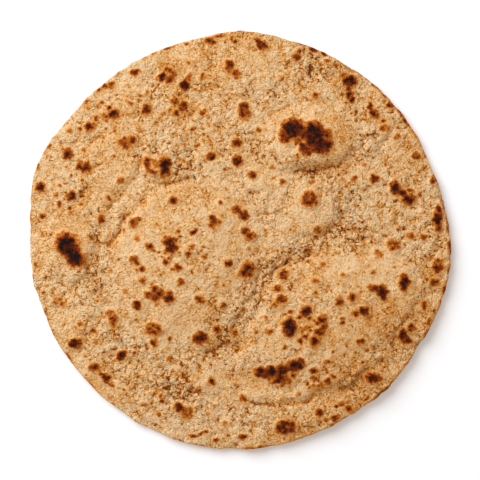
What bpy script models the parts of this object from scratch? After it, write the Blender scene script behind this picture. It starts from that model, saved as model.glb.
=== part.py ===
"""A chapati flatbread: a thin round of flat bread, puffed in places, as one closed solid.

The bread lies on its underside, in metres, with +Z up. The origin is the middle of
its footprint, on the surface that it lies on.

Run it with: blender --background --python part.py
"""
import math

import bmesh
import bpy
from mathutils import Vector, noise

MM = 0.001

# Every length below is in millimetres, and every angle in degrees from +X towards +Y.

# The outline: a circle with low bulges, each (direction, spread, rise).
BASE_RADIUS = 88.0
BULGES = (
    (160.0, 9.0, 3.6),
    (140.0, 7.0, 0.6),
    (89.0, 6.0, 1.3),
    (353.0, 12.0, 2.5),
    (335.0, 12.0, 0.7),
    (315.0, 7.0, 1.0),
    (262.0, 20.0, 1.2),
    (195.0, 15.0, 0.7),
)
OUTLINE_WAVE = 0.3

# The dough: thicker in the middle, domed a little, thin at its rounded rim.
CENTRE_THICKNESS = 3.0
RIM_THICKNESS = 1.9
DOME_HEIGHT = 1.4
EDGE_FALL = 1.1            # how far the top drops over its outer part
RIM_ROUNDING = 0.9

# The rim lifts off the surface, most on one side.
CURL_BAND = 34.0
CURL_HEIGHT = 0.9
HIGH_CURL_HEIGHT = 1.8
HIGH_CURL_DIRECTION = -35.0
CURL_WAVE = 0.35

# Puffs raised by steam, each (x, y, half length, half width, turn, height).
PUFFS = (
    (38.0, -33.5, 45.0, 28.5, 33.0, 5.2),
    (-22.0, -11.0, 37.0, 33.0, 105.0, 3.6),
    (30.5, 42.5, 21.5, 14.0, 12.0, 3.2),
    (-74.0, -4.0, 15.5, 13.0, 110.0, 2.0),
    (31.0, 13.5, 13.0, 11.5, 60.0, 1.6),
    (-56.0, 32.0, 15.0, 12.0, 60.0, 1.0),
    (-36.0, 31.0, 8.5, 8.0, 0.0, 1.0),
    (-69.5, -39.0, 8.5, 7.0, 70.0, 1.2),
    (-37.0, -41.0, 9.5, 8.5, 0.0, 0.8),
    (-12.5, -60.5, 7.5, 7.0, 0.0, 1.1),
    (56.0, -58.5, 8.0, 6.0, -10.0, 1.0),
    (7.0, 65.0, 8.0, 7.0, 0.0, 0.8),
    (31.0, 62.0, 8.5, 8.0, 0.0, 0.7),
    (-3.0, 71.5, 7.0, 6.5, 0.0, 0.8),
)
PUFF_EDGE_WAVE = 0.14      # how far a puff's edge strays, as a share of its radius
PUFF_EDGE_LENGTH = 0.65    # the length of one such stray, as a share of the half length

# Low rolling of the whole top, each (wavelength, height).
ROLLING = ((30.0, 0.45), (13.0, 0.22))

# The mesh: rings of triangles on top, then bands round the rim and under it.
TOP_RINGS = 30
RIM_BANDS = 4
UNDERSIDE_BANDS = 5
SMOOTHING_ANGLE = 50.0

CRUST_COLOUR = (0.624, 0.332, 0.127, 1.0)
CRUST_ROUGHNESS = 0.85


def clear_scene():
    for item in list(bpy.data.objects):
        bpy.data.objects.remove(item, do_unlink=True)


def smooth_noise(x, y, wavelength, layer):
    """Smooth noise from about -1 to 1, a different pattern for each layer."""
    return noise.noise(Vector((x / wavelength, y / wavelength, layer)))


def angle_between(first, second):
    """The signed angle from second to first, from -180 to 180 degrees."""
    return (first - second + 180.0) % 360.0 - 180.0


def outline_radius(angle):
    """The distance from the middle to the outer edge."""
    radius = BASE_RADIUS
    for direction, spread, rise in BULGES:
        radius += rise * math.exp(-0.5 * (angle_between(angle, direction) / spread) ** 2)
    turn = math.radians(angle)
    wave = smooth_noise(BASE_RADIUS * math.cos(turn), BASE_RADIUS * math.sin(turn), 12.0, 5.0)
    return radius + OUTLINE_WAVE * wave


def curl_height(angle):
    """How far the rim's underside stands off the surface."""
    facing = max(0.0, math.cos(math.radians(angle - HIGH_CURL_DIRECTION)))
    turn = math.radians(angle)
    wave = smooth_noise(BASE_RADIUS * math.cos(turn), BASE_RADIUS * math.sin(turn), 30.0, 9.0)
    return CURL_HEIGHT + HIGH_CURL_HEIGHT * facing ** 1.5 + CURL_WAVE * wave


def underside_height(radius, angle):
    """Flat in the middle, rising smoothly to the lifted rim."""
    flat_radius = outline_radius(angle) - CURL_BAND
    along = max(0.0, (radius - flat_radius) / CURL_BAND)
    return curl_height(angle) * along * along * (3.0 - 2.0 * along)


def puff_height(x, y, puff):
    """A rounded mound with a wavy edge that stands crisply off the dough outside it."""
    centre_x, centre_y, half_length, half_width, turn, height = puff
    cosine = math.cos(math.radians(turn))
    sine = math.sin(math.radians(turn))
    along = (cosine * (x - centre_x) + sine * (y - centre_y)) / half_length
    across = (cosine * (y - centre_y) - sine * (x - centre_x)) / half_width
    stray = PUFF_EDGE_WAVE * smooth_noise(x, y, PUFF_EDGE_LENGTH * half_length, centre_x)
    distance = math.hypot(along, across) * (1.0 + stray)
    if distance >= 1.0:
        return 0.0
    return height * (1.0 - distance ** 2.6) ** 1.15


def top_height(radius, angle):
    """The height of the top crust above the surface that the bread lies on."""
    turn = math.radians(angle)
    x = radius * math.cos(turn)
    y = radius * math.sin(turn)
    share = radius / outline_radius(angle)
    inner = 1.0 - share ** 2
    height = underside_height(radius, angle) + RIM_THICKNESS
    height += (CENTRE_THICKNESS - RIM_THICKNESS + DOME_HEIGHT) * inner
    height += EDGE_FALL * (1.0 - share ** 8)
    for puff in PUFFS:
        height += puff_height(x, y, puff)
    for layer, (wavelength, rise) in enumerate(ROLLING):
        height += rise * smooth_noise(x, y, wavelength, 20.0 + layer) * min(1.0, 4.0 * inner)
    return height


def ring_place(x, y):
    """Turns a point of the unit hexagon into its share of the radius and its angle."""
    angle = math.degrees(math.atan2(y, x))
    middle_of_side = 60.0 * round(angle / 60.0)
    lean = math.radians(angle - middle_of_side)
    nearest_side = math.cos(math.radians(30.0))
    share = math.hypot(x, y) * math.cos(lean) / nearest_side
    return share, middle_of_side + 60.0 * nearest_side * math.tan(lean)


def polar_point(radius, angle, height):
    turn = math.radians(angle)
    return Vector((radius * math.cos(turn), radius * math.sin(turn), height)) * MM


def add_top(mesh):
    """A hexagon cut into rings of triangles, rounded to the outline and raised."""
    bmesh.ops.create_circle(mesh, cap_ends=True, cap_tris=True, segments=6, radius=1.0)
    bmesh.ops.subdivide_edges(mesh, edges=mesh.edges[:], cuts=TOP_RINGS - 1, use_grid_fill=True)
    for vertex in mesh.verts:
        share, angle = ring_place(vertex.co.x, vertex.co.y)
        radius = share * (outline_radius(angle) - RIM_ROUNDING)
        vertex.co = polar_point(radius, angle, top_height(radius, angle))


def rim_point(angle, share):
    """Round the rim's edge in half an ellipse, from its top (0) to its underside (1)."""
    inner_radius = outline_radius(angle) - RIM_ROUNDING
    top = top_height(inner_radius, angle)
    bottom = underside_height(inner_radius, angle)
    half_turn = math.pi * share
    height = 0.5 * (top + bottom) + 0.5 * (top - bottom) * math.cos(half_turn)
    return polar_point(inner_radius + RIM_ROUNDING * math.sin(half_turn), angle, height)


def underside_point(angle, share):
    """In from the rim (0) to the edge of the flat underside (1)."""
    outer_radius = outline_radius(angle) - RIM_ROUNDING
    flat_radius = outline_radius(angle) - CURL_BAND
    radius = outer_radius + (flat_radius - outer_radius) * share
    return polar_point(radius, angle, underside_height(radius, angle))


def add_bands(mesh, edges, bands, place):
    """Grows an open edge by a number of bands and returns the new open edge."""
    for band in range(1, bands + 1):
        grown = bmesh.ops.extrude_edge_only(mesh, edges=edges)["geom"]
        for vertex in (item for item in grown if isinstance(item, bmesh.types.BMVert)):
            angle = math.degrees(math.atan2(vertex.co.y, vertex.co.x))
            vertex.co = place(angle, band / bands)
        edges = [item for item in grown if isinstance(item, bmesh.types.BMEdge) and item.is_boundary]
    return edges


def centre_footprint(mesh):
    """Moves the middle of the footprint to the origin."""
    for axis in (0, 1):
        places = [vertex.co[axis] for vertex in mesh.verts]
        middle = 0.5 * (min(places) + max(places))
        for vertex in mesh.verts:
            vertex.co[axis] -= middle


def crust_material():
    material = bpy.data.materials.new("crust")
    material.use_nodes = True
    shader = material.node_tree.nodes["Principled BSDF"]
    shader.inputs["Base Color"].default_value = CRUST_COLOUR
    shader.inputs["Roughness"].default_value = CRUST_ROUGHNESS
    return material


def build_chapati():
    mesh = bmesh.new()
    add_top(mesh)
    edges = [edge for edge in mesh.edges if edge.is_boundary]
    edges = add_bands(mesh, edges, RIM_BANDS, rim_point)
    edges = add_bands(mesh, edges, UNDERSIDE_BANDS, underside_point)
    bmesh.ops.edgeloop_fill(mesh, edges=edges)
    centre_footprint(mesh)
    bmesh.ops.recalc_face_normals(mesh, faces=mesh.faces[:])
    data = bpy.data.meshes.new("chapati")
    mesh.to_mesh(data)
    mesh.free()
    data.shade_smooth()
    data.set_sharp_from_angle(angle=math.radians(SMOOTHING_ANGLE))
    data.materials.append(crust_material())
    bpy.context.scene.collection.objects.link(bpy.data.objects.new("chapati", data))


clear_scene()
build_chapati()
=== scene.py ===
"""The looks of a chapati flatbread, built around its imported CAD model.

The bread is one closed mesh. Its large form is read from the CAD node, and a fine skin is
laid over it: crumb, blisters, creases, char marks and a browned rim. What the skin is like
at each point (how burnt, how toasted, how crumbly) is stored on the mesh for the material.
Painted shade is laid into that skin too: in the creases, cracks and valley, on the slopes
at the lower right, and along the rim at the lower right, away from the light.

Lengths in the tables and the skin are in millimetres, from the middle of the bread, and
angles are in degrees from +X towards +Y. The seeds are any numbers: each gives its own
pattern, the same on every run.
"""

import math
from typing import NamedTuple

import bpy
import numpy as np
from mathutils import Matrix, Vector
from mathutils.bvhtree import BVHTree


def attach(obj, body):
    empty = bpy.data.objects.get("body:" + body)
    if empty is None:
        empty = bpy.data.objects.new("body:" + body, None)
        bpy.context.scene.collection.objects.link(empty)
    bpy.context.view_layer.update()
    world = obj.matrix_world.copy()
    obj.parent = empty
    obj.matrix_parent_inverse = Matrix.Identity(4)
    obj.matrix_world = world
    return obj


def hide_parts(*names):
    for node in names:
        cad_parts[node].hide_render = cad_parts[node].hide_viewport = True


MM = 0.001
NODE = "chapati"
PIECE = "chapati_bread"
STORED = ("crest", "char", "toast", "crumbly")    # what of the skin is stored on the mesh

# The mesh: rings of triangles on top, rows round the rim, and coarser rings underneath.
TOP_RINGS = 168
RIM_ROWS = 4
RIM_POINTS = 6 * TOP_RINGS
UNDER_RINGS = TOP_RINGS // 3
RIM_ROUNDING = 0.9

# Reading the CAD solid.
FORM_STEP = 2.0            # how far apart its heights are read
FORM_START = 100.0         # well clear of it, where the readings start
FORM_MARGIN = 1.4 * RIM_ROUNDING    # how far in from its edge they stop
OUTLINE_STEPS = 180        # how many directions its outline is read in

# How far apart the crumb's lumps are in the mesh.
LARGE_CRUMBS = 2.9
SMALL_CRUMBS = 1.55
UNDER_CRUMBS = 3.4

# The parts of a fold.
FOLD_END = 5.0             # how far from its ends a fold has its full height
SHOULDER_PLACE = 2.4       # in widths of the fold, as is the next
SHOULDER_WIDTH = 1.5
SHOULDER_HEIGHT = 1.3      # in heights of the fold, as is the next
CRACK_DEPTH = 1.6
CRACK_WIDTH = 0.5

# The parts of a char mark. The first five are how far outside the mark's edge they are.
HALO_REACH = 1.0           # the faint warm ring round the burnt core
BLISTER_REACH = 1.2        # the blister that the mark lies on
PALE_REACH = 1.6           # the calm pale disc round it
GROOVE_PLACE = 1.9         # the groove round the blister
MARK_REACH = 4.0           # where nothing of the mark is left
HIGHEST_BLISTER = 0.7
RING_FADE = 0.66           # how much of its heat the middle of a ring mark lacks

# The finest crumb, in the material.
LUMP_SPACING = 2.6
CRUMB_SPACING = 1.5
GRAIN_SPACING = 0.8
PRICK_SPACING = 1.9
CRUMB_BEND = 3.0           # how far it is bent out of its even spacing
BUMP_DEPTH = 0.9

# The studio, in metres. The key light's tilt is down from straight above.
FLOOR_CORNERS = ((-3, -3, 0), (3, -3, 0), (3, 3, 0), (-3, 3, 0))
FLOOR_GLOW = 0.065
SKY_COLOUR = (1.0, 0.91, 0.82, 1.0)
SKY_STRENGTH = 0.57
KEY_SIZE = 0.98
KEY_POWER = 12.0
KEY_COLOUR = (0.93, 1.0, 1.11)
KEY_TILT = 52.0
KEY_TURN = 132.0
KEY_DISTANCE = 1.05
CAMERA_LENS = 100.0
VIEW_WIDTH = 0.2055        # the width of floor that the camera sees

# Smooth and crumbly parts of the top: (x, y, half length, half width, amount). Here and in
# the tables of patches and marks below, one number more at the end of a row is its turn.
SMOOTH_PATCHES = (
    # The puffs.
    (38, -13, 12, 7, 1, 10), (50, -15, 16, 8, 1, 10), (62, -9, 7, 6, 0.8), (48, -42, 14, 9, 0.9, 25),
    (14, -45, 10, 6, 0.8, 20), (8, -60, 8, 7, 0.9), (27, -66, 12, 5, 0.7, 10), (38, -33, 40, 24, 0.45, 33),
    (60, -28, 8, 6, 0.5), (-46, -3, 9, 9, 1), (-34, 14, 14, 7, 0.95, 30), (-10, 13, 10, 6, 0.8),
    (-7, -18, 9, 10, 0.7), (-22, -18, 14, 9, 0.6), (-3, 0, 8, 8, 0.6), (-22, -11, 34, 30, 0.35, 105),
    (30, 12, 12, 10, 0.8, 60), (14, 50, 8, 8, 0.9), (30, 46, 20, 12, 0.85, 10), (-74, -3, 15, 12, 0.85, 110),
    (-56, 31, 13, 10, 0.6, 65), (-12, -60, 7, 6, 0.8), (-70, -37, 7, 7, 0.5), (57, -58, 8, 6, 0.6, -10),
    # Between them, and along the rim.
    (8, 27, 10, 5, 0.6, -20), (-50, 62, 14, 7, 0.8, 40), (-28, 76, 14, 6, 0.6, 20), (6, 78, 9, 6, 0.5),
    (-82, 28, 7, 8, 0.7), (-86, -8, 6, 12, 0.8), (-64, -61, 10, 7, 1, -45), (-76, -47, 6, 5, 0.9),
)
CRUMBLY_PATCHES = (
    # Above the middle, and down the right side.
    (-23, 32, 9, 9, 0.85), (-8, 34, 8, 6, 0.7), (-38, 36, 10, 5, 0.5), (6, 41, 9, 5, 0.7),
    (47, 12, 10, 13, 1), (45, 1, 10, 6, 0.9), (33, 26, 12, 5, 0.7, -40), (54, 41, 9, 6, 0.7, 20),
    (49, 58, 5, 12, 0.7), (72, 0, 10, 6, 0.5),
    # The valley, from its upper end downwards.
    (27, -3, 14, 5, 0.8, 12), (15, -12, 7, 10, 0.7, -20), (5, -26, 7, 11, 0.65, -30),
    (-5, -39, 7, 10, 0.6, -35), (-14, -49, 9, 7, 0.6), (-25, -53, 9, 6, 0.9), (-28, -64, 8, 12, 0.85),
    (-18, -72, 8, 6, 0.7),
    # The left side, the top and the rim.
    (-50, -43, 12, 6, 0.7, -20), (-62, -36, 6, 6, 0.6), (-63, -15, 6, 10, 0.6), (-62, 1, 5, 6, 0.6),
    (-37, 62, 8, 6, 0.5), (15, 62, 8, 7, 0.5), (2, 65, 6, 6, 0.5), (-62, 30, 5, 6, 0.5),
    (84, 14, 6, 12, 0.5), (86, -15, 5, 10, 0.6), (62, -65, 10, 5, 0.7, 40), (76, -48, 5, 12, 0.6, -30),
    (2, -76, 16, 6, 0.5), (34, 74, 14, 6, 0.7, -25), (66, 54, 10, 6, 0.6, -45), (-88, 8, 4, 8, 0.5),
)

# Creases in the crust: (half width, depth, points along it).
CREASES = (
    (0.8, 0.45, ((64.5, -44), (65.5, -39), (69, -35.5), (73, -33), (75, -27))),
    (0.8, 0.35, ((-61, 3), (-60.5, -5), (-61, -14))),
)

# Edges of puffs, with a crease outside and a raised shoulder on the left of the way along
# the points: (width, height, points).
FOLDS = (
    # The puff at the left of the middle, and the ridges beside it.
    (1.6, 0.5, ((-18, 27), (-25, 25.5), (-33, 23), (-40, 19), (-46, 13.5), (-51, 7), (-54, 0), (-55, -8))),
    (1.5, 0.3, ((-61, 10), (-56, 14), (-51, 19), (-46, 24), (-42.5, 31), (-41, 38))),
    (1.4, 0.35, ((-70, -20), (-65, -16), (-62, -9), (-61, -2), (-62, 5), (-66, 11))),
    (1.3, 0.22, ((-71, 12), (-66, 17), (-63, 24), (-61, 31))),
    (1.4, 0.25, ((-49, 50), (-56, 47), (-63, 42), (-69, 37))),
    (1.2, 0.25, ((-43, 27), (-37, 24.5), (-30, 27), (-26, 31), (-26, 36))),
    # The valley down the middle.
    (1.8, 0.6, ((33, -3), (27, -7), (20, -9.5), (15, -13), (11, -19), (8, -27), (4, -35), (1, -43),
                (-2, -52), (-1, -61))),
    (1.4, 0.28, ((-17, -50), (-10, -46), (-4, -40), (0, -33), (5, -24), (9, -15), (10, -8))),
    (1, 0.16, ((-20, -46), (-15, -40), (-10, -33), (-4, -26))),
    (1, 0.14, ((-33, -40), (-27, -35), (-21, -30), (-14, -22))),
    (1, 0.22, ((0, 11.5), (7, 10.5), (14, 11.5), (21, 14))),
    (1.2, 0.28, ((66, 1), (58, 3), (50, 3), (42, 1), (35, -1))),
    # Round the large puff at the lower right.
    (1.5, 0.55, ((2, -67), (10, -70), (19, -71), (27, -69), (34, -66.5), (42, -63.5), (50, -60), (56, -54))),
    (1.2, 0.28, ((49, -63), (54, -54), (60, -52), (65, -54))),
    (1.2, 0.25, ((64, -46), (67, -39), (72, -33), (75, -26))),
    # Round the charred puff and the one below it.
    (1.7, 0.6, ((12, 38), (16, 33), (23, 29.5), (31, 28.5), (39, 31), (46, 34), (50.5, 39), (52, 45))),
    (1.4, 0.25, ((44, 55), (36, 58), (27, 58.5), (18, 56), (11, 51), (9, 45))),
    (1.2, 0.2, ((23, 2), (31, 0.5), (38, 3), (42.5, 9), (43.5, 16), (41, 22))),
    (1.1, 0.2, ((40, 26), (33, 27), (25, 25), (20, 20))),
    # Towards the top and the right.
    (1.1, 0.18, ((-16, 60), (-15, 66), (-17, 73))),
    (1.1, 0.18, ((0, 60), (1, 66), (-1, 71))),
    (1.1, 0.18, ((14, 62), (17, 67), (20, 73))),
    (1.2, 0.22, ((47, 52), (47, 59), (45, 66), (41, 72))),
    (1.2, 0.2, ((58, 40), (64, 46), (67, 53))),
    (1.2, 0.2, ((50, 22), (57, 21), (62, 25), (64, 32))),
    (1.1, 0.18, ((61, 6), (67, 8), (70, 14))),
    # Towards the bottom left.
    (1.2, 0.25, ((-72, -43), (-66, -42), (-62, -37), (-61, -30))),
    (1.2, 0.2, ((-46, -50), (-39, -52), (-31, -50), (-27, -43))),
    (1.2, 0.2, ((-34, -62), (-27, -66), (-18, -65), (-11, -67))),
    (1.2, 0.2, ((-54, -42), (-48, -38), (-45, -31))),
)

# Golden toasted parts, and painted shade in the valley and on the slopes at the lower right that face away
# from the light: (x, y, half length, half width, amount).
TOAST_AND_SHADE_PATCHES = (
    (-52, 51, 5, 2, 0.7, 10), (-46.5, 54.5, 3.6, 3, 0.6), (6, 36, 9, 3, 0.7), (35, 73, 9, 4, 0.7, -20),
    (30, 70, 5, 5, 0.4), (-63, 21, 5, 4, 0.4), (41, 32, 9, 3, 0.8, 15), (-4, -25, 16, 6, 0.4, 62),
    (22, -6, 12, 3, 0.6, 25), (-25, -62, 10, 7, 0.8, 10), (-26, -34, 4, 3, 0.4), (-4, -43, 6, 5, 0.5),
    (60, -34, 15, 10, 0.9, 42), (62, -45, 6, 5, 0.5, 40), (-18, 68, 8, 5, 0.3), (42, -38, 12, 10, 0.15),
    (73, 1, 8, 4, 0.3), (-75, -29, 7, 4, 0.3), (62, -50, 34, 13, 1.3, 45), (78, -22, 22, 8, 1, 70),
    (38, -76, 24, 8, 0.7, 25), (6, -24, 7, 14, 0.5, -30), (46, 2, 14, 6, 1), (-27, -64, 9, 10, 1.3),
    (-61, -10, 5, 14, 0.5), (62, -36, 9, 7, 0.3), (70, -52, 10, 7, 0.7, 50), (29, -37, 6, 6, 1.2),
    (18, -58, 6, 4, 0.9),
)

# Pale cream skin, round some of the marks and elsewhere: (x, y, half length, half width, amount).
PALE_PATCHES = (
    (28, 43, 18, 12, 1, 10), (-73, -4, 11, 9, 0.6, -56), (29.5, 16.5, 8, 8, 0.7), (1.6, 54.5, 6, 7, 0.8),
    (-12, -60, 6.5, 6, 1), (-9.6, -38, 4, 4.2, 0.8), (-2.3, -39.5, 3.8, 4, 0.8),
    (-16.7, -41.7, 5.5, 5.5, 0.6), (56, -58.5, 7, 5, 0.8, -10), (65, -2.3, 5, 5, 0.8),
    (2.5, -13.5, 5, 5.5, 0.6), (60, -22, 6, 7, 0.6), (14, -46, 11, 7, 0.7, 20), (-46, -3, 6, 9, 0.5),
    (5, 27.5, 4, 4, 0.5), (-23, 67, 5, 6, 0.4), (9, 82, 5, 4, 0.4), (-22, 33, 9, 8, 0.8),
    (49, 14, 7, 8, 0.4), (12, 62, 8, 6, 1.1), (56, 43, 8, 6, 0.9), (46, 50, 6, 6, 0.9),
    (-68, 50, 8, 12, 0.6, -40), (-52, 68, 12, 6, 0.8, 40), (-66, -58, 9, 6, 0.8, -40), (-84, 12, 6, 28, 0.5),
)

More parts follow.
